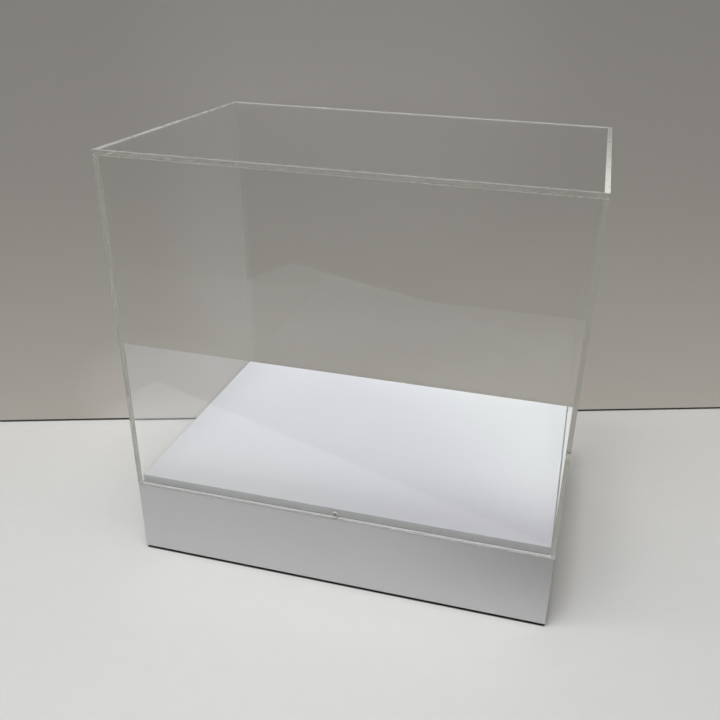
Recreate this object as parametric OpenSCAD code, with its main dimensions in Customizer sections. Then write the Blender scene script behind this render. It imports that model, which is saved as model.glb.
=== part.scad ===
// Table-top display case: a clear acrylic hood that stands on the ledge of a
// white lacquered plinth, round a raised deck.
// Millimetres. +X is the viewer's right, +Y the back, +Z up.
// The origin is on the table, under the middle of the case.

/* [Hood] */
// Outside width of the acrylic hood
hood_w = 400; // [250:5:800]
// Outside depth of the hood
hood_d = 270; // [200:5:600]
// Height of the hood, from its rim to its top
hood_h = 320; // [100:5:700]
// Thickness of the acrylic sheets
sheet_t = 4; // [3:0.5:8]
// Polished arris on the hood's outside edges
sheet_arris = 0.3; // [0.1:0.05:0.8]
// Diameter of the hole for the locking screw in the front and back sheets
lock_hole_d = 5; // [3:0.5:6]

/* [Deck] */
// Thickness of the deck, which is how far it stands up inside the hood
deck_t = 9; // [8:1:25]
// Clearance between the deck and the hood's front and back sheets
deck_gap = 2; // [0.2:0.1:3]
// Clearance between the deck and the hood's side sheets
deck_side_gap = 0.5; // [0.2:0.1:3]
// Arris on the deck's edges
deck_arris = 0.4; // [0.2:0.1:1]
// Diameter of the pilot hole in the deck's edge, for the locking screw
pilot_d = 2.5; // [2:0.5:4]
// Depth of the pilot hole
pilot_l = 20; // [10:1:30]

/* [Plinth walls] */
// Height of the wall boards
wall_h = 75; // [50:1:200]
// Thickness of the wall boards
wall_t = 12; // [9:1:20]
// How far the walls stand out past the hood, on each side
wall_proud = 0; // [0:0.1:4]
// Radius on the plinth's upright corners
corner_r = 1; // [0.5:0.5:8]
// Arris on the walls' outer top and bottom edges
wall_arris = 0.3; // [0.2:0.05:0.4]

/* [Battens and blocks] */
// Side of the square battens under the deck
batten_side = 18; // [14:1:25]
// Side of the corner blocks
block_side = 25; // [18:1:35]
// Bevel on the inner edge of the corner blocks
block_bevel = 8; // [2:1:10]

/* [Bottom] */
// Thickness of the bottom panel
bottom_t = 6; // [4:1:12]
// Clearance between the bottom panel and the walls
bottom_gap = 0.5; // [0.3:0.1:2]
// Diameter of the rubber feet
foot_d = 20; // [12:1:30]
// Thickness of the rubber feet, which is the gap under the plinth
foot_h = 3; // [2:0.5:8]
// Chamfer round the lower edge of the feet
foot_chamfer = 0.8; // [0.2:0.1:1.2]
// From the plinth's outside faces to the middle of a foot
foot_inset = 56; // [52:1:70]

/* [Screws] */
// Shank diameter of the screws
screw_d = 3.5; // [3:0.5:4.5]
// Head diameter of the screws
screw_head_d = 7; // [6:0.5:9]
// Length of screw that bites into the deck
deck_bite = 7; // [4:0.5:7]
// Length of the screws in the bottom panel
bottom_screw_l = 20; // [16:1:30]
// Screws in each long batten, an even number that leaves the middle free
long_batten_screws = 4; // [2:2:6]
// Screws in each short batten
short_batten_screws = 2; // [2:1:4]
// From a short batten's end to its first screw
batten_end = 30; // [20:1:50]
// Clearance round a screw in its hole
screw_gap = 0.05; // [0.03:0.01:0.2]

/* [Hidden] */
$fn = 48;

acrylic = [0.80, 0.86, 0.83, 0.35];
lacquer = [0.90, 0.90, 0.90];
raw_board = [0.70, 0.58, 0.43];
pine = [0.84, 0.70, 0.48];
black_rubber = [0.10, 0.10, 0.10];
steel = [0.72, 0.72, 0.70];

// Levels, from the table up
ledge_z = foot_h + wall_h;             // the hood's rim and the deck stand here
deck_top_z = ledge_z + deck_t;
hood_top_z = ledge_z + hood_h;
bottom_top_z = foot_h + bottom_t;
batten_z = ledge_z - batten_side;

// Plan sizes
plinth_w = hood_w + 2 * wall_proud;
plinth_d = hood_d + 2 * wall_proud;
bay_w = plinth_w - 2 * wall_t;         // the space inside the walls
bay_d = plinth_d - 2 * wall_t;
deck_w = hood_w - 2 * (sheet_t + deck_side_gap);
deck_d = hood_d - 2 * (sheet_t + deck_gap);

// The locking screw goes through the middle of the sheet, half way up the deck's edge
lock_z = ledge_z + deck_t / 2;

// Places of the screws
screw_head_h = (screw_head_d - screw_d) / 2;
deck_screw_l = batten_side + deck_bite;
long_screw_span = bay_w - 2 * (batten_side + batten_end);
short_screw_span = bay_d - 2 * (batten_side + batten_end);
long_screw_y = (bay_d - batten_side) / 2;
short_screw_x = (bay_w - batten_side) / 2;
block_x = (bay_w - block_side) / 2;
block_y = (bay_d - block_side) / 2;

// Numbers evenly spread over a span about 0
function spread(count, span) = [for (i = [0 : count - 1]) (i / (count - 1) - 0.5) * span];

deck_screw_places = [
    for (x = spread(long_batten_screws, long_screw_span), side = [-1, 1]) [x, side * long_screw_y],
    for (y = spread(short_batten_screws, short_screw_span), side = [-1, 1]) [side * short_screw_x, y]
];
bottom_screw_places = [for (x = [-1, 1], y = [-1, 1]) [x * block_x, y * block_y]];

// ---- shared shapes ----

// A rectangle with its corners cut off at 45 degrees, about the origin
module cut_rectangle(w, h, cut) {
    polygon([
        [-w / 2 + cut, -h / 2], [w / 2 - cut, -h / 2], [w / 2, -h / 2 + cut], [w / 2, h / 2 - cut],
        [w / 2 - cut, h / 2], [-w / 2 + cut, h / 2], [-w / 2, h / 2 - cut], [-w / 2, -h / 2 + cut]
    ]);
}

// A box on the plane z = 0 with an arris on all its edges
module arris_box(w, d, h, arris) {
    translate([0, 0, h / 2]) intersection() {
        linear_extrude(h, center = true) cut_rectangle(w, d, arris);
        rotate([90, 0, 0]) linear_extrude(d, center = true) cut_rectangle(w, h, arris);
        rotate([90, 0, 90]) linear_extrude(w, center = true) cut_rectangle(d, h, arris);
    }
}

// A box on the plane z = 0 with round upright corners and an arris round its top and bottom
module round_corner_box(w, d, h, r, arris) {
    for (x = [-1, 1], y = [-1, 1])
        translate([x * (w / 2 - r), y * (d / 2 - r), 0])
            rotate_extrude()
                polygon([[0, 0], [r - arris, 0], [r, arris], [r, h - arris], [r - arris, h], [0, h]]);
    translate([0, 0, h / 2]) {
        rotate([90, 0, 90]) linear_extrude(w - 2 * r, center = true) cut_rectangle(d, h, arris);
        rotate([90, 0, 0]) linear_extrude(d - 2 * r, center = true) cut_rectangle(w, h, arris);
    }
}

// A countersunk screw that points up, with the face of its head at z = 0
module screw(length, grow = 0) {
    tip = screw_d / 2;
    rotate_extrude()
        polygon([
            [0, 0], [screw_head_d / 2 + grow, 0], [screw_d / 2 + grow, screw_head_h],
            [screw_d / 2 + grow, length - tip], [0, length + grow]
        ]);
}

// The cross in a screw's head
module drive_cross() {
    reach = screw_head_d * 0.55;
    slot = screw_head_d * 0.13;
    depth = screw_head_d * 0.16;
    for (turn = [0, 90])
        rotate(turn) translate([-reach / 2, -slot / 2, -depth]) cube([reach, slot, 2 * depth]);
}

module screw_group(places, z, length) {
    color(steel)
        for (place = places)
            translate([place.x, place.y, z])
                difference() {
                    screw(length);
                    drive_cross();
                }
}

module screw_holes(places, z, length) {
    for (place = places)
        translate([place.x, place.y, z]) screw(length, grow = screw_gap);
}

// ---- hood ----

module hood_envelope() {
    translate([0, 0, ledge_z]) arris_box(hood_w, hood_d, hood_h, sheet_arris);
}

// The part of the hood's outside form that lies between two corners of a box
module hood_part(low, high) {
    color(acrylic)
        intersection() {
            hood_envelope();
            translate(low) cube(high - low);
        }
}

// Bore for the locking screw, through the front (side = -1) or back (side = 1) sheet
module lock_hole(side) {
    translate([0, side * (hood_d - sheet_t) / 2, lock_z])
        rotate([90, 0, 0]) cylinder(d = lock_hole_d, h = 2 * sheet_t, center = true);
}

module hood_top_sheet() {
    hood_part(
        [-hood_w / 2, -hood_d / 2, hood_top_z - sheet_t],
        [hood_w / 2, hood_d / 2, hood_top_z]
    );
}

// The front and back sheets run the whole width and cover the ends of the side sheets
module hood_face_sheet(side) {
    near = hood_d / 2 - sheet_t;
    far = hood_d / 2;
    color(acrylic)
        difference() {
            hood_part(
                [-hood_w / 2, side < 0 ? -far : near, ledge_z],
                [hood_w / 2, side < 0 ? -near : far, hood_top_z - sheet_t]
            );
            lock_hole(side);
        }
}

module hood_side_sheet(side) {
    near = hood_w / 2 - sheet_t;
    far = hood_w / 2;
    reach = hood_d / 2 - sheet_t;
    hood_part(
        [side < 0 ? -far : near, -reach, ledge_z],
        [side < 0 ? -near : far, reach, hood_top_z - sheet_t]
    );
}

// ---- deck ----

module deck_board() {
    color(lacquer)
        difference() {
            translate([0, 0, ledge_z]) arris_box(deck_w, deck_d, deck_t, deck_arris);
            screw_holes(deck_screw_places, batten_z, deck_screw_l);
            for (side = [-1, 1])
                translate([0, side * deck_d / 2, lock_z])
                    rotate([90, 0, 0]) cylinder(d = pilot_d, h = 2 * pilot_l, center = true);
        }
}

// ---- plinth ----

// Plan of the wall that lies towards -Y, mitred to the middle of the box
module mitre_plan(length, depth) {
    polygon([
        [-length / 2, -depth / 2], [length / 2, -depth / 2],
        [length / 2 - wall_t, -depth / 2 + wall_t], [-length / 2 + wall_t, -depth / 2 + wall_t]
    ]);
}

module plinth_wall(length, depth, turn) {
    color(lacquer)
        intersection() {
            translate([0, 0, foot_h])
                round_corner_box(plinth_w, plinth_d, wall_h, corner_r, wall_arris);
            translate([0, 0, foot_h]) rotate(turn) linear_extrude(wall_h) mitre_plan(length, depth);
        }
}

// A long batten runs the whole bay; a short one fits between the long ones
module long_batten(side) {
    color(pine)
        difference() {
            translate([-bay_w / 2, side * long_screw_y - batten_side / 2, batten_z])
                cube([bay_w, batten_side, batten_side]);
            screw_holes(deck_screw_places, batten_z, deck_screw_l);
        }
}

module short_batten(side) {
    length = bay_d - 2 * batten_side;
    color(pine)
        difference() {
            translate([side * short_screw_x - batten_side / 2, -length / 2, batten_z])
                cube([batten_side, length, batten_side]);
            screw_holes(deck_screw_places, batten_z, deck_screw_l);
        }
}

// A block glued into the corner at (side_x, side_y), with its inner edge bevelled
module corner_block(side_x, side_y) {
    height = batten_z - bottom_top_z;
    color(pine)
        difference() {
            mirror([side_x > 0 ? 1 : 0, 0, 0]) mirror([0, side_y > 0 ? 1 : 0, 0])
                translate([-bay_w / 2, -bay_d / 2, bottom_top_z])
                    linear_extrude(height)
                        polygon([
                            [0, 0], [block_side, 0], [block_side, block_side - block_bevel],
                            [block_side - block_bevel, block_side], [0, block_side]
                        ]);
            screw_holes([[side_x * block_x, side_y * block_y]], foot_h, bottom_screw_l);
        }
}

module bottom_panel() {
    color(raw_board)
        difference() {
            translate([-bay_w / 2 + bottom_gap, -bay_d / 2 + bottom_gap, foot_h])
                cube([bay_w - 2 * bottom_gap, bay_d - 2 * bottom_gap, bottom_t]);
            screw_holes(bottom_screw_places, foot_h, bottom_screw_l);
        }
}

module foot(side_x, side_y) {
    color(black_rubber)
        translate([side_x * (plinth_w / 2 - foot_inset), side_y * (plinth_d / 2 - foot_inset), 0])
            rotate_extrude()
                polygon([
                    [0, 0], [foot_d / 2 - foot_chamfer, 0], [foot_d / 2, foot_chamfer],
                    [foot_d / 2, foot_h], [0, foot_h]
                ]);
}

module deck_screws() { screw_group(deck_screw_places, batten_z, deck_screw_l); }
module bottom_screws() { screw_group(bottom_screw_places, foot_h, bottom_screw_l); }

hood_top_sheet();
hood_face_sheet(-1);  // hood_front_sheet
hood_face_sheet(1);  // hood_back_sheet
hood_side_sheet(-1);  // hood_left_sheet
hood_side_sheet(1);  // hood_right_sheet
deck_board();
plinth_wall(plinth_w, plinth_d, 0);  // plinth_front_wall
plinth_wall(plinth_w, plinth_d, 180);  // plinth_back_wall
plinth_wall(plinth_d, plinth_w, -90);  // plinth_left_wall
plinth_wall(plinth_d, plinth_w, 90);  // plinth_right_wall
long_batten(-1);  // deck_batten_front
long_batten(1);  // deck_batten_back
short_batten(-1);  // deck_batten_left
short_batten(1);  // deck_batten_right
corner_block(-1, -1);  // corner_block_front_left
corner_block(1, -1);  // corner_block_front_right
corner_block(-1, 1);  // corner_block_back_left
corner_block(1, 1);  // corner_block_back_right
bottom_panel();
foot(-1, -1);  // foot_front_left
foot(1, -1);  // foot_front_right
foot(-1, 1);  // foot_back_left
foot(1, 1);  // foot_back_right
deck_screws();
bottom_screws();
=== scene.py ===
import math

import bpy
from mathutils import Matrix, Vector


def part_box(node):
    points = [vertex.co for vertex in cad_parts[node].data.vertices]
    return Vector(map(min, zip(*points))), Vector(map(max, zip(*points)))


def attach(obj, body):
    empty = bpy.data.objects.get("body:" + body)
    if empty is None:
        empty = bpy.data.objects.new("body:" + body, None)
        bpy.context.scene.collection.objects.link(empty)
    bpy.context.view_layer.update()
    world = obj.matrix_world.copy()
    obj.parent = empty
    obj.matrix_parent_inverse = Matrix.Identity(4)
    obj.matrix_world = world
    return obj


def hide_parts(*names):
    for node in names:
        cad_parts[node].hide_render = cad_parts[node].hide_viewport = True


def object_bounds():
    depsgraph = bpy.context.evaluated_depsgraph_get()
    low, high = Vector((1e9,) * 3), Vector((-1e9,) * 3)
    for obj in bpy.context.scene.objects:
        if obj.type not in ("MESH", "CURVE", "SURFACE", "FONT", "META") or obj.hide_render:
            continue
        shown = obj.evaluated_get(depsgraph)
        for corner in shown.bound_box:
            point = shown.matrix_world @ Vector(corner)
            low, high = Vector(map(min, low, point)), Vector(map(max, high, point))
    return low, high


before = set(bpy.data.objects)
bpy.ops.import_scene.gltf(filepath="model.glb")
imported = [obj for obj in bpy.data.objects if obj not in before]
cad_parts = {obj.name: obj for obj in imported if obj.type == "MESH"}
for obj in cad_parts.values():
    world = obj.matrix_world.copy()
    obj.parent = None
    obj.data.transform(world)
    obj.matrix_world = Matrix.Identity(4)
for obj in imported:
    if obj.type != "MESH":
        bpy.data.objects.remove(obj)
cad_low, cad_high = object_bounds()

MM = 0.001

# ---- sizes, most of them read from the frame ----

TOP_LOW, TOP_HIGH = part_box("hood_top_sheet")
BACK_LOW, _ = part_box("hood_back_sheet")
RIGHT_LOW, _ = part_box("hood_right_sheet")
DECK_LOW, DECK_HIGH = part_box("deck_board")
PLINTH_LOW, PLINTH_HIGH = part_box("plinth_front_wall")

HOOD_X = TOP_HIGH[0]            # half the hood's width
HOOD_Y = TOP_HIGH[1]            # half its depth
BAY_X = RIGHT_LOW[0]            # half the width inside the hood
BAY_Y = BACK_LOW[1]             # half the depth inside the hood
RIM_Z = PLINTH_HIGH[2]          # the hood's rim, on the plinth's ledge
CEILING_Z = TOP_LOW[2]          # the underside of the top sheet
LOCK_Z = (DECK_LOW[2] + DECK_HIGH[2]) / 2
LOCK_R = 2.5 * MM
ARRIS = 0.3 * MM                # how much a sheet's outside edges are broken
BEAD = 0.6 * MM                 # height of the line of cement under the top sheet
NEAR = 0.02 * MM                # two places closer than this are one
AIR = 0.06 * MM                 # what the rim keeps off the ledge, so that the two don't wet each other

# ---- camera ----

EYE = Vector((183.2, -694.3, 532.3)) * MM
YAW, TILT_DOWN, ROLL = math.radians(13.72), math.radians(26.58), math.radians(1.61)
PHOTO_SIDE = 720                # pixels
FOCAL_PIXELS = 792.8
CENTRE_PIXEL = (388.2, 364.3)   # where the camera's axis meets the photograph


def place_camera():
    data = bpy.data.cameras.new("camera")
    data.sensor_width = 36
    data.lens = FOCAL_PIXELS / PHOTO_SIDE * data.sensor_width
    data.shift_x = 0.5 - CENTRE_PIXEL[0] / PHOTO_SIDE
    data.shift_y = CENTRE_PIXEL[1] / PHOTO_SIDE - 0.5
    data.clip_start, data.clip_end = 0.01, 30
    camera = bpy.data.objects.new("camera", data)
    bpy.context.scene.collection.objects.link(camera)
    turn = (
        Matrix.Rotation(YAW, 4, "Z")
        @ Matrix.Rotation(math.pi / 2 - TILT_DOWN, 4, "X")
        @ Matrix.Rotation(ROLL, 4, "Z")
    )
    camera.matrix_world = Matrix.Translation(EYE) @ turn
    bpy.context.scene.camera = camera


# ---- shader maths ----


class Socket:
    """An output of a node. Arithmetic on it adds Math nodes to the same finish."""

    def __init__(self, finish, output):
        self.finish = finish
        self.output = output

    def __add__(self, other):
        return self.finish.maths("ADD", self, other)

    def __sub__(self, other):
        return self.finish.maths("SUBTRACT", self, other)

    def __rsub__(self, other):
        return self.finish.maths("SUBTRACT", other, self)

    def __mul__(self, other):
        return self.finish.maths("MULTIPLY", self, other)

    def __truediv__(self, other):
        return self.finish.maths("DIVIDE", self, other)

    def __gt__(self, other):
        return self.finish.maths("GREATER_THAN", self, other)

    def __lt__(self, other):
        return self.finish.maths("LESS_THAN", self, other)

    __radd__ = __add__
    __rmul__ = __mul__


class Finish:
    """A node tree: a material's, or the world's."""

    def __init__(self, name, owner=None):
        self.owner = owner or bpy.data.materials.new(name)
        self.owner.use_nodes = True
        self.tree = self.owner.node_tree
        self.tree.nodes.clear()

    def node(self, kind, settings=(), inputs=(), output=0):
        """Adds a node. settings are its own properties, inputs the values or links of its sockets."""
        made = self.tree.nodes.new("ShaderNode" + kind)
        for key, value in dict(settings).items():
            setattr(made, key, value)
        for key, value in dict(inputs).items():
            if isinstance(value, Socket):
                self.tree.links.new(value.output, made.inputs[key])
            else:
                made.inputs[key].default_value = value
        return Socket(self, made.outputs[output]) if len(made.outputs) else None

    def maths(self, operation, a, b=0.0):
        return self.node("Math", {"operation": operation}, {0: a, 1: b})

    def blend(self, factor, a, b):
        """Colour a where factor is 0 and b where it is 1."""
        return self.node("Mix", {"data_type": "RGBA"}, {0: factor, 6: a, 7: b}, 2)

    def cross(self, factor, a, b):
        """Shader a where factor is 0 and b where it is 1."""
        return self.node("MixShader", (), {0: factor, 1: a, 2: b})

    def place(self):
        """The point in the object's own metres."""
        return self.node("TexCoord", (), (), "Object")

    def along(self, axis):
        return self.node("SeparateXYZ", (), {0: self.place()}, axis)

    def stretched(self, scale):
        """The point with each axis scaled, to draw a pattern out along one of them."""
        return self.node("Mapping", (), {"Vector": self.place(), "Scale": scale})

    def noise(self, scale, detail=2.0, roughness=0.5, vector=None):
        return self.node(
            "TexNoise",
            (),
            {"Vector": vector or self.place(), "Scale": scale, "Detail": detail, "Roughness": roughness},
        )

    def band(self, value, low, high):
        """0 below low, 1 above high and a smooth step between."""
        return self.node(
            "MapRange",
            {"interpolation_type": "SMOOTHSTEP"},
            {"Value": value, "From Min": low, "From Max": high},
        )

    def bump(self, height, depth, strength=1.0):
        return self.node("Bump", (), {"Height": height, "Distance": depth, "Strength": strength})

    def ray(self, kind):
        return self.node("LightPath", (), (), f"Is {kind} Ray")

    def show(self, shader):
        kind = "OutputWorld" if isinstance(self.owner, bpy.types.World) else "OutputMaterial"
        self.node(kind, (), {"Surface": shader})
        return self.owner


# ---- finishes ----

ACRYLIC_IOR = 1.49


def lamp_lit(finish, glass):
    """To lamps and bounced light a sheet is a thin pane: it mirrors at a slant and lets the rest through."""
    inside = finish.node("NewGeometry", (), (), "Backfacing")
    facing_ior = inside * (1 / ACRYLIC_IOR - ACRYLIC_IOR) + ACRYLIC_IOR
    slant = finish.node("Fresnel", (), {"IOR": facing_ior})
    straight_on = finish.node("BsdfTransparent", (), {"Color": (0.996, 0.998, 0.996, 1)})
    mirror = finish.node("BsdfAnisotropic", (), {"Color": (1, 1, 1, 1), "Roughness": 0.0})
    pane = finish.cross(slant, straight_on, mirror)
    for_lamps = finish.cross(finish.ray("Shadow"), glass, pane)
    return finish.cross(finish.ray("Diffuse"), for_lamps, pane)


def clear_acrylic():
    finish = Finish("clear_acrylic")
    glass = finish.node(
        "BsdfPrincipled",
        (),
        {
            "Base Color": (0.998, 1.0, 0.998, 1),
            "Roughness": 0.0,
            "IOR": ACRYLIC_IOR,
            "Transmission Weight": 1.0,
        },
    )
    return finish.show(lamp_lit(finish, glass))


def polished_edge(name, haze_share):
    """A sheet's narrow sides: flame polished, with some haze and faint marks of the saw."""
    finish = Finish(name)
    marks = finish.noise(900.0, 1.0)
    glass = finish.node(
        "BsdfPrincipled",
        (),
        {
            "Base Color": (0.98, 0.99, 0.975, 1),
            "Roughness": 0.14,
            "IOR": ACRYLIC_IOR,
            "Transmission Weight": 1.0,
            "Normal": finish.bump(marks, 0.02 * MM, 0.4 * haze_share),
        },
    )
    haze = finish.node("BsdfPrincipled", (), {"Base Color": (0.84, 0.89, 0.84, 1), "Roughness": 0.6})
    return finish.show(lamp_lit(finish, finish.cross(haze_share * (0.8 + 0.4 * marks), glass, haze)))


def drilled_acrylic():
    """The wall of a drilled hole, frosted by the bit."""
    finish = Finish("drilled_acrylic")
    marks = finish.noise(900.0, 2.0)
    glass = finish.node(
        "BsdfPrincipled",
        (),
        {
            "Base Color": finish.blend(marks, (0.86, 0.84, 0.77, 1), (0.96, 0.94, 0.88, 1)),
            "Roughness": 0.6,
            "IOR": ACRYLIC_IOR,
            "Transmission Weight": 0.25,
        },
    )
    return finish.show(glass)


def scraped_arris():
    """The sheets' broken edges: scraped, so a little white."""
    finish = Finish("scraped_arris")
    marks = finish.noise(700.0, 2.0)
    surface = finish.node(
        "BsdfPrincipled",
        (),
        {
            "Base Color": finish.blend(marks, (0.71, 0.72, 0.70, 1), (0.84, 0.85, 0.83, 1)),
            "Roughness": 0.45,
            "IOR": ACRYLIC_IOR,
            "Transmission Weight": 0.5,
        },
    )
    return finish.show(surface)


def solvent_weld():
    """The joint between two sheets: no step in the light's way, only a faint tint."""
    finish = Finish("solvent_weld")
    joint = finish.node("BsdfTransparent", (), {"Color": (0.985, 0.985, 0.97, 1)})
    return finish.show(joint)


def hazy_weld():
    """The cement between the upright sheets: hazy, most at the front, and clear at the sheets' tops."""
    finish = Finish("hazy_weld")
    y, z = finish.along(1), finish.along(2)
    cloud = finish.noise(30.0, 2.0, 0.5, finish.stretched((1.0, 1.0, 0.3)))
    share = 0.42 + 0.14 * finish.band(y, BAY_Y, -BAY_Y)
    cement = finish.node(
        "BsdfPrincipled",
        (),
        {
            "Base Color": finish.blend(cloud, (0.74, 0.76, 0.70, 1), (0.84, 0.86, 0.81, 1)),
            "Roughness": 0.7,
            "Alpha": share * (z < CEILING_Z - NEAR),
        },
    )
    return finish.show(cement)


def weld_and_painted_light():
    """Cement under the top sheet, whitish on the walls' sawn edges, with clear bubbles; partly painted
    light.
    """
    finish = Finish("weld_and_painted_light")
    x, y = finish.along(0), finish.along(1)
    towards_front = finish.band(y, BAY_Y, -BAY_Y)
    over_front = y < -BAY_Y
    over_back = y > BAY_Y
    over_sides = 1 - over_front - over_back
    over_right = over_sides * (x > BAY_X)
    over_left = over_sides * (x < -BAY_X)
    # Whiter towards the front, and on the right more opaque there too: partly cement, partly painted light
    right = over_right * (0.40 + 0.55 * towards_front)
    dashes = finish.band(finish.noise(420.0, 1.0), 0.52, 0.60)
    left = over_left * (0.30 + 0.40 * dashes * finish.band(finish.maths("ABSOLUTE", y), 0.10, 0.04))
    front = over_front * (finish.maths("ABSOLUTE", x) < BAY_X) * 0.10
    bubbles = finish.band(finish.noise(240.0, 1.0), 0.72, 0.66)
    sides = (right + left) * (0.5 + 0.5 * bubbles)
    grazing = finish.band(finish.node("LayerWeight", (), {"Blend": 0.5}, "Facing"), 0.30, 0.58)
    cement = finish.node(
        "BsdfPrincipled",
        (),
        {
            "Base Color": finish.blend(towards_front, (0.74, 0.72, 0.68, 1), (0.89, 0.89, 0.83, 1)),
            "Roughness": 0.6,
            "Alpha": (sides + front + 0.60 * over_back) * (1 - grazing),
        },
    )
    return finish.show(cement)


def cement_bead():
    """The cement that was squeezed out along a joint: a faint line, whitish in places."""
    finish = Finish("cement_bead")
    at_corners = finish.band(finish.maths("ABSOLUTE", finish.along(0)), 0.13, 0.17)
    runs = finish.noise(22.0, 1.0, 0.5, finish.stretched((1.0, 0.0, 0.0)))
    drops = finish.noise(160.0, 1.0, 0.5, finish.stretched((1.0, 0.0, 0.0)))
    whitish = finish.maths("MAXIMUM", finish.band(runs, 0.50, 0.62), at_corners)
    whitish = whitish * finish.band(drops, 0.40, 0.55)
    glass = finish.node(
        "BsdfPrincipled",
        (),
        {
            "Base Color": (0.99, 0.99, 0.96, 1),
            "Roughness": 0.0,
            "IOR": ACRYLIC_IOR,
            "Transmission Weight": 1.0,
        },
    )
    cement = finish.node("BsdfPrincipled", (), {"Base Color": (0.90, 0.91, 0.87, 1), "Roughness": 0.6})
    return finish.show(finish.cross(0.62 + 0.38 * whitish, glass, cement))


def white_lacquer():
    """Sprayed satin lacquer with a trace of orange peel: cooler on the deck, with painted shade on its edge.
    """
    finish = Finish("white_lacquer")
    cloud = finish.noise(9.0, 3.0)
    peel = finish.noise(420.0, 2.0)
    x, y, z = (finish.along(axis) for axis in range(3))
    out_x, out_y = finish.maths("ABSOLUTE", x), finish.maths("ABSOLUTE", y)
    walls = finish.blend(cloud, (0.770, 0.772, 0.776, 1), (0.810, 0.812, 0.816, 1))
    at_front = finish.band(y, -0.02, -0.12)
    # A soft shade at the right top of the front, as in the photograph
    shade = at_front * finish.band(x, 0.03, 0.20) * finish.band(z, 0.0, RIM_Z)
    walls = finish.blend(0.19 * shade, walls, (0.0, 0.0, 0.0, 1))
    # A grey line along the walls' top half millimetre: painted shade under the hood's rim
    under_rim = finish.band(z, RIM_Z - 0.9 * MM, RIM_Z - 0.5 * MM)
    walls = finish.blend(under_rim, walls, (0.44, 0.44, 0.44, 1))
    # The ledge's top face: paler, painted light
    walls = finish.blend(z > RIM_Z - NEAR, walls, (0.97, 0.965, 0.945, 1))
    # The walls' undersides: near black, painted shade that deepens the gap under the plinth
    walls = finish.blend(z < PLINTH_LOW[2] + NEAR, walls, (0.13, 0.11, 0.09, 1))
    # The deck: painted light back right and front left, painted shade front right, as in the photograph
    far = finish.band(x + 0.7 * y, 0.02, 0.20)
    deck = finish.blend(cloud, (0.83, 0.84, 0.905, 1), (0.87, 0.88, 0.945, 1))
    deck = finish.blend(far, deck, (0.94, 0.965, 1.0, 1))
    to_right = finish.band(x, -0.15, 0.15)
    deck = finish.blend(0.6 * at_front * (1 - to_right), deck, (0.96, 0.97, 1.0, 1))
    deck = finish.blend(0.5 * at_front * to_right, deck, (0.76, 0.75, 0.84, 1))
    # The deck's front and back faces: painted shade, darker towards the foot, with a dark painted line at
    # the foot; its ends pale
    up_edge = finish.band(z, DECK_LOW[2], DECK_HIGH[2])
    off_foot = finish.band(z, DECK_LOW[2] + 0.8 * MM, DECK_LOW[2] + 1.8 * MM)
    edge = finish.blend(up_edge, (0.60, 0.60, 0.605, 1), (0.745, 0.75, 0.775, 1))
    edge = finish.blend(off_foot, (0.44, 0.44, 0.44, 1), edge)
    edge = finish.blend(out_x > DECK_HIGH[0] - NEAR, edge, (0.88, 0.885, 0.90, 1))
    on_edge = finish.maths("MAXIMUM", out_x > DECK_HIGH[0] - NEAR, out_y > DECK_HIGH[1] - NEAR)
    deck = finish.blend(on_edge, deck, edge)
    on_deck = z > DECK_LOW[2] + NEAR
    surface = finish.node(
        "BsdfPrincipled",
        (),
        {
            "Base Color": finish.blend(on_deck, walls, deck),
            "Roughness": 0.36 + 0.08 * finish.noise(35.0, 3.0),
            "IOR": 1.5,
            "Normal": finish.bump(peel, 0.05 * MM, 0.25),
        },
    )
    return finish.show(surface)


def pine(axis):
    """Planed softwood with its grain along an axis: soft rings, fine fibres and a few darker streaks."""
    finish = Finish("pine_along_" + "xyz"[axis])
    grain = finish.stretched([0.05 if i == axis else 1.0 for i in range(3)])
    rings = finish.band(finish.noise(170.0, 1.0, 0.4, grain), 0.40, 0.60)
    fibres = finish.noise(1800.0, 3.0, 0.6, grain)
    streaks = finish.band(finish.noise(60.0, 2.0, 0.5, grain), 0.55, 0.75)
    wood = finish.blend(rings, (0.76, 0.58, 0.35, 1), (0.62, 0.42, 0.21, 1))
    wood = finish.blend(0.5 * streaks, wood, (0.48, 0.29, 0.13, 1))
    wood = finish.blend(0.35 * fibres, wood, (0.86, 0.70, 0.47, 1))
    surface = finish.node(
        "BsdfPrincipled",
        (),
        {
            "Base Color": wood,
            "Roughness": 0.52 + 0.16 * fibres,
            "Normal": finish.bump(fibres, 0.08 * MM, 0.4),
        },
    )
    return finish.show(surface)


def raw_board():
    """Unpainted fibreboard: felted fibres with darker flecks."""
    finish = Finish("raw_board")
    felt = finish.noise(420.0, 4.0, 0.65)
    flecks = finish.band(finish.noise(900.0, 2.0, 0.6), 0.60, 0.72)
    clouds = finish.noise(14.0, 3.0)
    board = finish.blend(felt, (0.40, 0.29, 0.18, 1), (0.56, 0.43, 0.29, 1))
    board = finish.blend(0.4 * clouds, board, (0.50, 0.40, 0.29, 1))
    board = finish.blend(0.6 * flecks, board, (0.24, 0.16, 0.09, 1))
    surface = finish.node(
        "BsdfPrincipled",
        (),
        {
            "Base Color": board,
            "Roughness": 0.72 + 0.14 * felt,
            "Normal": finish.bump(felt, 0.12 * MM, 0.5),
        },
    )
    return finish.show(surface)


def black_rubber():
    """Moulded rubber with a fine grain, greyer where it rubs."""
    finish = Finish("black_rubber")
    grain = finish.noise(1400.0, 2.0)
    rubbed = finish.band(finish.noise(160.0, 3.0), 0.45, 0.75)
    surface = finish.node(
        "BsdfPrincipled",
        (),
        {
            "Base Color": finish.blend(rubbed, (0.018, 0.018, 0.019, 1), (0.060, 0.059, 0.057, 1)),
            "Roughness": 0.70 + 0.15 * rubbed,
            "Normal": finish.bump(grain, 0.03 * MM, 0.6),
        },
    )
    return finish.show(surface)


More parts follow.
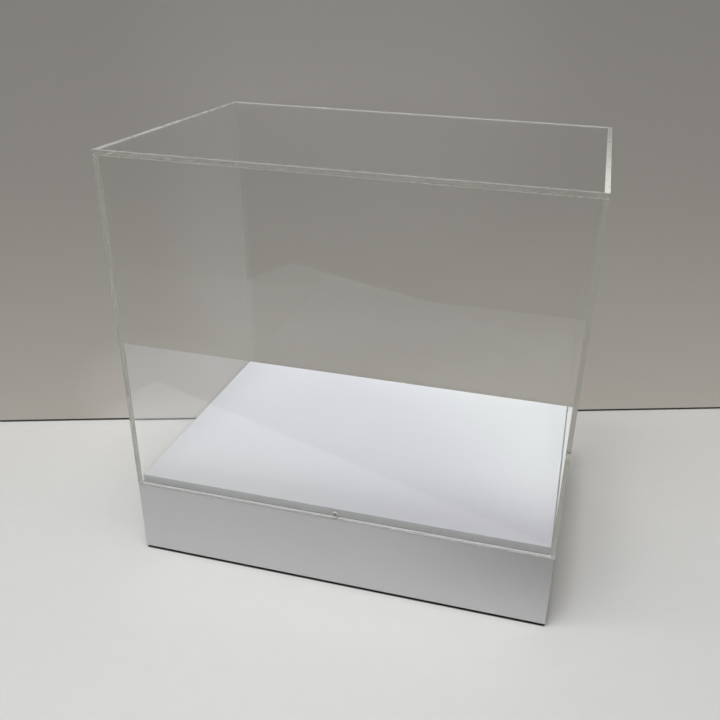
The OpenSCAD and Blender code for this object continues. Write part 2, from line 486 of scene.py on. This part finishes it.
def zinc_steel():
    """Zinc-plated steel, with the faint colours of its passivation."""
    finish = Finish("zinc_steel")
    clouds = finish.noise(380.0, 3.0)
    tints = finish.noise(90.0, 1.0)
    plating = finish.blend(tints, (0.58, 0.60, 0.64, 1), (0.68, 0.66, 0.56, 1))
    surface = finish.node(
        "BsdfPrincipled",
        (),
        {
            "Base Color": finish.blend(0.5 * clouds, plating, (0.46, 0.46, 0.46, 1)),
            "Metallic": 1.0,
            "Roughness": 0.26 + 0.20 * clouds,
            "Normal": finish.bump(clouds, 0.02 * MM, 0.3),
        },
    )
    return finish.show(surface)


def paint(obj, *finishes):
    obj.data.materials.clear()
    for finish in finishes:
        obj.data.materials.append(finish)


# ---- modelling ----


def alone(obj):
    bpy.ops.object.select_all(action="DESELECT")
    obj.select_set(True)
    bpy.context.view_layer.objects.active = obj


def block(name, low, high):
    """A box from corner to corner, with its place in its mesh."""
    low, high = Vector(low), Vector(high)
    bpy.ops.object.select_all(action="DESELECT")
    bpy.ops.mesh.primitive_cube_add(size=1, location=(low + high) / 2, scale=high - low)
    obj = bpy.context.object
    obj.name = obj.data.name = name
    bpy.ops.object.transform_apply(location=True, rotation=True, scale=True)
    return obj


def pick_edges(obj, wanted):
    """Selects the edges whose two ends wanted() accepts, and goes to edit mode."""
    alone(obj)
    bpy.ops.object.mode_set(mode="EDIT")
    bpy.ops.mesh.select_mode(type="EDGE")
    bpy.ops.mesh.select_all(action="DESELECT")
    bpy.ops.object.mode_set(mode="OBJECT")
    points = [v.co for v in obj.data.vertices]
    for edge in obj.data.edges:
        edge.select = wanted(*(points[i] for i in edge.vertices))
    bpy.ops.object.mode_set(mode="EDIT")


def cut(obj, point, normal):
    """Cuts the faces along a plane and keeps both sides."""
    alone(obj)
    bpy.ops.object.mode_set(mode="EDIT")
    bpy.ops.mesh.select_all(action="SELECT")
    bpy.ops.mesh.bisect(plane_co=point, plane_no=normal)
    bpy.ops.object.mode_set(mode="OBJECT")


def outside_edge(a, b):
    """True for an edge that runs along two of the hood's outside planes, or along its rim."""
    def shared(axis, place):
        return abs(a[axis] - place) < NEAR and abs(b[axis] - place) < NEAR

    sides = [shared(0, HOOD_X) or shared(0, -HOOD_X), shared(1, HOOD_Y) or shared(1, -HOOD_Y)]
    ends = [shared(2, TOP_HIGH[2]), shared(2, RIM_Z + AIR)]
    return sum(sides) + sum(ends) >= 2


# Places of a sheet's finishes in its list
FACE, SIDE, WELD, DRILLED, BROKEN, CEMENT = range(6)


def weld_faces(obj, is_weld, is_edge):
    """Puts the finishes of welds, arrises and narrow sides on their faces. The rest stays clear."""
    for face in obj.data.polygons:
        if is_weld(face.center, face.normal):
            face.material_index = WELD
        elif face.center.z > CEILING_Z and max(abs(part) for part in face.normal) < 0.95:
            face.material_index = BROKEN
        elif CEILING_Z - BEAD < face.center.z < CEILING_Z and abs(face.center.y) > HOOD_Y - NEAR:
            face.material_index = CEMENT
        elif is_edge(face.center, face.normal):
            face.material_index = SIDE
        else:
            face.material_index = FACE


def hood_sheet(node, cuts, is_weld, is_edge, finishes, hole_axis_y=None):
    low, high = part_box(node)
    if low[2] < CEILING_Z - NEAR:
        low = (low[0], low[1], low[2] + AIR)
    sheet = block(node + "_clear", low, high)
    for point, normal in cuts:
        cut(sheet, point, normal)
    if hole_axis_y is not None:
        drill(sheet, hole_axis_y)
    pick_edges(sheet, outside_edge)
    bpy.ops.mesh.bevel(offset=ARRIS, offset_type="OFFSET", segments=2, affect="EDGES")
    bpy.ops.object.mode_set(mode="OBJECT")
    paint(sheet, *finishes)
    weld_faces(sheet, is_weld, is_edge)
    if hole_axis_y is not None:
        for face in sheet.data.polygons:
            off_axis = math.hypot(face.center.x, face.center.z - LOCK_Z)
            if off_axis < LOCK_R + 2 * ARRIS and abs(face.normal.y) < 0.95:
                face.material_index = DRILLED
    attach(sheet, "hood")
    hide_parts(node)
    return sheet


def drill(sheet, axis_y):
    """A hole along Y for the locking screw, with its rims broken."""
    bpy.ops.object.select_all(action="DESELECT")
    bpy.ops.mesh.primitive_cylinder_add(
        vertices=64, radius=LOCK_R, depth=20 * MM, location=(0, axis_y, LOCK_Z), rotation=(math.pi / 2, 0, 0)
    )
    drill_bit = bpy.context.object
    alone(sheet)
    boolean = sheet.modifiers.new("hole", "BOOLEAN")
    boolean.operation, boolean.solver, boolean.object = "DIFFERENCE", "EXACT", drill_bit
    bpy.ops.object.modifier_apply(modifier=boolean.name)
    bpy.data.objects.remove(drill_bit)

    def rim(a, b):
        off = [abs(math.hypot(p.x, p.z - LOCK_Z) - LOCK_R) < NEAR for p in (a, b)]
        return all(off) and abs(a.y - b.y) < NEAR

    pick_edges(sheet, rim)
    bpy.ops.mesh.bevel(offset=ARRIS, offset_type="OFFSET", segments=2, affect="EDGES")
    bpy.ops.object.mode_set(mode="OBJECT")


def make_hood():
    clear, joint, drilled, arris, bead = (
        clear_acrylic(), solvent_weld(), drilled_acrylic(), scraped_arris(), cement_bead()
    )
    top_edge, edge = polished_edge("polished_edge", 0.0), polished_edge("hazy_edge", 0.25)
    finishes = [clear, edge, joint, drilled, arris, bead]

    def on_top(at, normal):
        return normal.z > 0.9 and abs(at.z - CEILING_Z) < NEAR

    # The top sheet lies on the walls, all round the bay
    hood_sheet(
        "hood_top_sheet",
        [((side * BAY_X, 0, 0), (1, 0, 0)) for side in (-1, 1)]
        + [((0, side * BAY_Y, 0), (0, 1, 0)) for side in (-1, 1)],
        lambda at, normal: normal.z < -0.9 and (abs(at.x) > BAY_X or abs(at.y) > BAY_Y),
        lambda at, normal: abs(normal.z) < 0.9,
        [clear, top_edge, weld_and_painted_light(), drilled, arris, bead],
    )
    # The front and back sheets cover the ends of the side sheets
    for node, side in (("hood_front_sheet", -1), ("hood_back_sheet", 1)):
        hood_sheet(
            node,
            [((x * BAY_X, 0, 0), (1, 0, 0)) for x in (-1, 1)] + [((0, 0, CEILING_Z - BEAD), (0, 0, 1))],
            lambda at, normal, side=side: on_top(at, normal)
            or (normal.y * side < -0.9 and abs(at.x) > BAY_X),
            lambda at, normal: abs(normal.y) < 0.9,
            finishes,
            hole_axis_y=side * (HOOD_Y + BAY_Y) / 2,
        )
    hazy_joint = hazy_weld()
    for node in ("hood_left_sheet", "hood_right_sheet"):
        hood_sheet(
            node,
            [],
            lambda at, normal: on_top(at, normal) or abs(normal.y) > 0.9,
            lambda at, normal: abs(normal.x) < 0.9,
            [clear, edge, hazy_joint, drilled, arris, bead],
        )


def dress_boards():
    """Gives boards, battens, blocks, feet and screws their finishes, by the first words of their names."""
    pines = [pine(axis) for axis in range(3)]
    finishes = {
        "plinth": white_lacquer(),
        "deck_batten_front": pines[0],
        "deck_batten_back": pines[0],
        "deck_batten": pines[1],
        "deck_screws": zinc_steel(),
        "corner_block": pines[2],
        "bottom_panel": raw_board(),
        "foot": black_rubber(),
    }
    finishes["deck_board"] = finishes["plinth"]
    finishes["bottom_screws"] = finishes["deck_screws"]
    for node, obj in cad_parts.items():
        for words, finish in finishes.items():
            if node.startswith(words):
                paint(obj, finish)
                break


# ---- stage ----

WALL_TURN = math.radians(19.0)      # the wall behind isn't quite square to the case
WALL_GAP = 2 * MM                   # between the wall and the plinth's back left corner
WALL_FOOT, WALL_SHADE, WALL_TOP = 2.6 * MM, 0.6, 2.6
TABLE_CORNER = (-370 * MM, -458 * MM, 0)    # met only by mirrored and bounced light
TABLE_TURN = math.radians(20.3)
WALL_POOLS = (                      # light on the wall: middle x and z, half sizes, share
    (-0.08, 0.42, 0.26, 0.24, 0.026),
    (-0.30, 0.03, 0.13, 0.10, 0.065),
    (-0.29, -0.01, 0.12, 0.055, 0.10),
)
LAMP_Z = 1.7


def flat(name, corners, finish):
    mesh = bpy.data.meshes.new(name)
    mesh.from_pydata(corners, [], [range(len(corners))])
    obj = bpy.data.objects.new(name, mesh)
    bpy.context.scene.collection.objects.link(obj)
    paint(obj, finish)
    return obj


def floor_finish():
    """A pale table. Mirrored in the hood, or as bounced light, it is dark past its front and left edges."""
    finish = Finish("pale_floor")
    fine = finish.noise(60.0, 4.0)
    pale = finish.blend(fine, (0.77, 0.765, 0.755, 1), (0.80, 0.795, 0.785, 1))
    x, y = finish.along(0), finish.along(1)
    # Painted shade on the floor under the case
    under_x = finish.band(finish.maths("ABSOLUTE", x), HOOD_X, HOOD_X - MM)
    under_y = finish.band(finish.maths("ABSOLUTE", y), HOOD_Y, HOOD_Y - MM)
    pale = finish.blend(under_x * under_y, pale, (0.17, 0.125, 0.115, 1))
    turned = finish.node(
        "Mapping",
        {"vector_type": "TEXTURE"},
        {"Vector": finish.place(), "Location": TABLE_CORNER, "Rotation": (0, 0, TABLE_TURN)},
    )
    from_left = finish.band(finish.node("SeparateXYZ", (), {0: turned}, 0), -3 * MM, 3 * MM)
    from_front = finish.band(finish.node("SeparateXYZ", (), {0: turned}, 1), -3 * MM, 3 * MM)
    mirrored = finish.node("LightPath", (), (), "Glossy Depth") > 0.5
    bounced = finish.maths("MAXIMUM", mirrored, finish.ray("Diffuse"))
    off_table = bounced * (1 - from_left * from_front)
    table = finish.node(
        "BsdfPrincipled",
        (),
        {"Base Color": finish.blend(off_table, pale, (0.20, 0.19, 0.18, 1)), "Roughness": 0.55},
    )
    return finish.show(table)


def wall_finish():
    """Warm grey, with painted light near the table and in pools. Seen from behind it isn't there."""
    finish = Finish("grey_wall")
    height = finish.along(2)
    # Painted light: lighter near the table, darker high up
    near_table = finish.band(height, 0.34, -0.06)
    high_up = finish.band(height, 0.20, 0.62)
    upper = finish.blend(high_up, (0.262, 0.248, 0.229, 1), (0.212, 0.202, 0.186, 1))
    tone = finish.blend(near_table, upper, (0.375, 0.352, 0.318, 1))
    x = finish.along(0)
    for centre_x, centre_z, reach_x, reach_z, share in WALL_POOLS:
        off_x, off_z = (x - centre_x) / reach_x, (height - centre_z) / reach_z
        pool = finish.band(off_x * off_x + off_z * off_z, 1.0, 0.1)
        tone = finish.blend(share * pool, tone, (1.0, 0.97, 0.93, 1))
    # Light that the hood's left sheet throws on it
    thrown = finish.band(x, -0.315, -0.206) * finish.band(x, -0.188, -0.204)
    thrown = thrown * finish.band(height, 0.43, 0.13)
    tone = finish.blend(0.092 * thrown, tone, (1.0, 1.0, 1.0, 1))
    lit = finish.node("BsdfPrincipled", (), {"Base Color": tone, "Roughness": 0.9})
    # Part of the wall's brightness is a painted glow, which no lamp gives
    painted_glow = finish.node("Emission", (), {"Color": tone, "Strength": 1.25})
    wall = finish.cross(0.6, lit, painted_glow)
    behind = finish.node("NewGeometry", (), (), "Backfacing")
    return finish.show(finish.cross(behind, wall, finish.node("BsdfTransparent")))


def dark_seam():
    """The shade between the table and the wall. Seen from behind it isn't there."""
    finish = Finish("dark_seam")
    tone = finish.blend(finish.noise(300.0, 3.0), (0.040, 0.037, 0.029, 1), (0.052, 0.047, 0.037, 1))
    seam = finish.node("BsdfPrincipled", (), {"Base Color": tone, "Roughness": 0.8})
    behind = finish.node("NewGeometry", (), (), "Backfacing")
    return finish.show(finish.cross(behind, seam, finish.node("BsdfTransparent")))


def build_stage():
    flat("floor", [(-4, -4, 0), (4, -4, 0), (4, 4, 0), (-4, 4, 0)], floor_finish())
    along = Vector((math.cos(WALL_TURN), math.sin(WALL_TURN), 0))
    away = Vector((-along.y, along.x, 0))
    corner = Vector((cad_low[0], cad_high[1], 0)) + away * WALL_GAP
    left, right = corner - 3 * along, corner + 4 * along
    finish = wall_finish()
    heights = [Vector((0, 0, z)) for z in (0, WALL_SHADE, WALL_TOP)]
    for name, low, high in (("wall_low", *heights[:2]), ("wall_high", *heights[1:])):
        wall = flat(name, [left + low, right + low, right + high, left + high], finish)
        wall.visible_shadow = False     # the lamps over and behind it light the case as well
    wall.visible_diffuse = False        # only the low one gives light back
    shade = dark_seam()
    foot = [left, right, right + Vector((0, 0, WALL_FOOT)), left + Vector((0, 0, WALL_FOOT))]
    flat("wall_foot", [p - away * MM for p in foot], shade)


def soft_box(name, place, aim, side, watts, colour):
    data = bpy.data.lights.new(name, "AREA")
    data.shape, data.size, data.energy, data.color = "SQUARE", side, watts, colour
    lamp = bpy.data.objects.new(name, data)
    lamp.location = place
    lamp.rotation_mode = "QUATERNION"
    lamp.rotation_quaternion = (Vector(aim) - Vector(place)).to_track_quat("-Z", "Y")
    bpy.context.scene.collection.objects.link(lamp)


def light_stage():
    world = bpy.data.worlds.new("studio")
    bpy.context.scene.world = world
    finish = Finish("studio", world)
    fill = finish.node("Background", (), {"Color": (1, 1, 1, 1), "Strength": 0.01})
    backdrop = finish.node("Background", (), {"Color": (0.30, 0.29, 0.275, 1), "Strength": 1.0})
    seen = finish.ray("Camera") + finish.ray("Glossy") + finish.ray("Transmission")
    finish.show(finish.cross(seen, fill, backdrop))
    case = (0, 0, 0.1)
    # Strengths and the overhead lamp's place started from a least-squares fit to the photo's brightness
    for name, place, aim, side, watts, colour in (
        ("overhead", (-0.04, -0.56, LAMP_Z), (-0.04, -0.56, 0), 0.7, 19.2, (0.97, 0.99, 1.0)),
        ("left", (-1.2, -0.6, LAMP_Z), (-1.2, -0.6, 0), 0.6, 4.8, (1.0, 0.98, 0.93)),
        ("back", (0, 0.6, LAMP_Z), (0, 0.6, 0), 0.6, 2.6, (1.0, 0.98, 0.94)),
        ("right_fill", (1.3, -0.2, 1.2), case, 0.9, 3.0, (1.0, 0.95, 0.88)),
        ("front_fill", (0, -1.8, 1.0), case, 0.9, 1.1, (0.95, 0.98, 1.0)),
    ):
        soft_box(name, place, aim, side, watts, colour)


def settle_renderer():
    scene = bpy.context.scene
    scene.view_settings.view_transform = "Standard"
    scene.cycles.max_bounces = 110     # the sheets lead light from edge to edge
    scene.cycles.glossy_bounces = 100
    scene.cycles.transmission_bounces = 40
    scene.cycles.transparent_max_bounces = 64
    scene.cycles.diffuse_bounces = 4
    scene.cycles.caustics_reflective = True
    scene.cycles.caustics_refractive = False


place_camera()
settle_renderer()
build_stage()
light_stage()
make_hood()
dress_boards()
